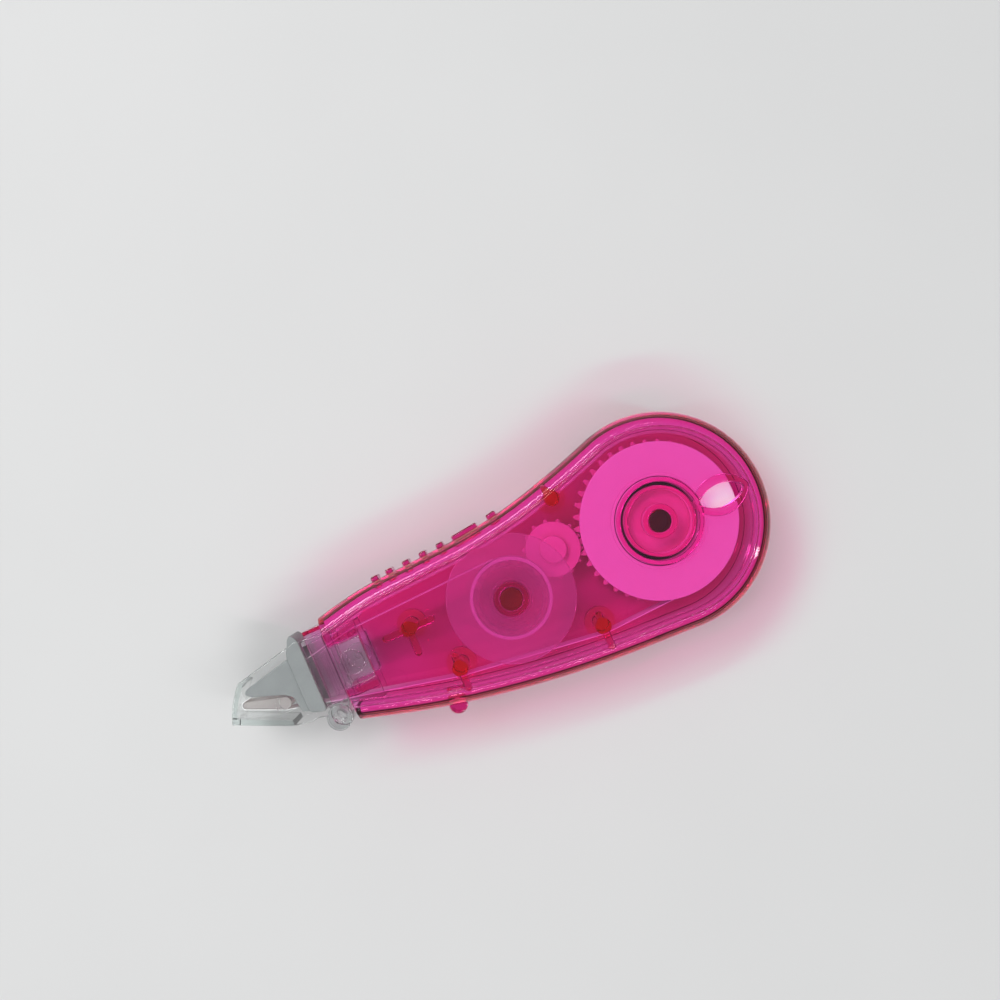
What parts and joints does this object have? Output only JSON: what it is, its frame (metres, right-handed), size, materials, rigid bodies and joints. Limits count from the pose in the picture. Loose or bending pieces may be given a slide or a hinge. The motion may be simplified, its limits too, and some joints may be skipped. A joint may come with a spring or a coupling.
{
  "type": "correction tape roller",
  "caption": "Hand-held correction tape roller: see-through tear-drop casing, geared supply and take-up reels, pressing tip and swing cap.",
  "frame": {"origin": "where the supply reel's axis meets the flat rear face of the casing", "axes": "+X from the nose to the rounded tail, +Y up when the roller is held in use, +Z out of the front face (the roller lies on its rear face)"},
  "size_m": [0.0867, 0.0332, 0.013],
  "materials": {
    "casing_pink": "polished see-through pink polystyrene",
    "holder_clear": "polished clear plastic",
    "nose_grey": "fine spark texture",
    "tip_white": "uncoloured translucent plastic",
    "cap_clear": "polished clear plastic",
    "tape_white": "dry opaque coating on film",
    "backing_film": "smooth release film",
    "gear_pink": "satin moulded acetal",
    "clutch_rubber": "matt",
    "reel_white": "satin moulded",
    "reel_clear_pink": "slightly milky see-through plastic"
  },
  "bodies": {
    "casing": {"front_casing": "casing_pink", "rear_casing": "casing_pink", "head_holder": "holder_clear", "nose_guard": "nose_grey", "feed_tape": "tape_white", "return_tape": "backing_film"},
    "cap": {"head_cap": "cap_clear"},
    "tip": {"transfer_tip": "tip_white", "tip_tape": "tape_white"},
    "supply_drive": {"supply_gear": "gear_pink", "clutch_ring": "clutch_rubber"},
    "supply_reel": {"supply_core": "reel_white", "supply_disc": "reel_white", "supply_tape_roll": "tape_white"},
    "idler": {"idler_gear": "gear_pink"},
    "takeup": {"takeup_reel": "reel_clear_pink", "takeup_disc": "reel_clear_pink", "takeup_tape_roll": "backing_film"}
  },
  "joints": [
    {"name": "cap_swing", "type": "hinge", "parent": "casing", "child": "cap", "pos_m": [-0.0551, -0.0078, 0.0065], "axis": [0, 0, 1], "range_deg": [0, 165]},
    {"name": "tip_rock", "type": "hinge", "parent": "casing", "child": "tip", "pos_m": [-0.0619, -0.0027, 0.0065], "axis": [0, 0, 1], "range_deg": [-3, 3], "stiffness_Nm_per_rad": 0.02},
    {"name": "supply_spin", "type": "hinge", "parent": "casing", "child": "supply_drive", "pos_m": [0, 0, 0.0065], "axis": [0, 0, 1], "continuous": true},
    {"name": "clutch_slip", "type": "hinge", "parent": "supply_drive", "child": "supply_reel", "pos_m": [0, 0, 0.0065], "axis": [0, 0, 1], "continuous": true},
    {"name": "idler_spin", "type": "hinge", "parent": "casing", "child": "idler", "pos_m": [-0.01606, 0.00214, 0.0065], "axis": [0, 0, 1], "continuous": true},
    {"name": "takeup_spin", "type": "hinge", "parent": "casing", "child": "takeup", "pos_m": [-0.0248, -0.00183, 0.0065], "axis": [0, 0, 1], "continuous": true}
  ],
  "couplings": [
    {"joint": "idler_spin", "follows": "supply_spin", "ratio": -2.8571},
    {"joint": "takeup_spin", "follows": "supply_spin", "ratio": 2.2222}
  ]
}
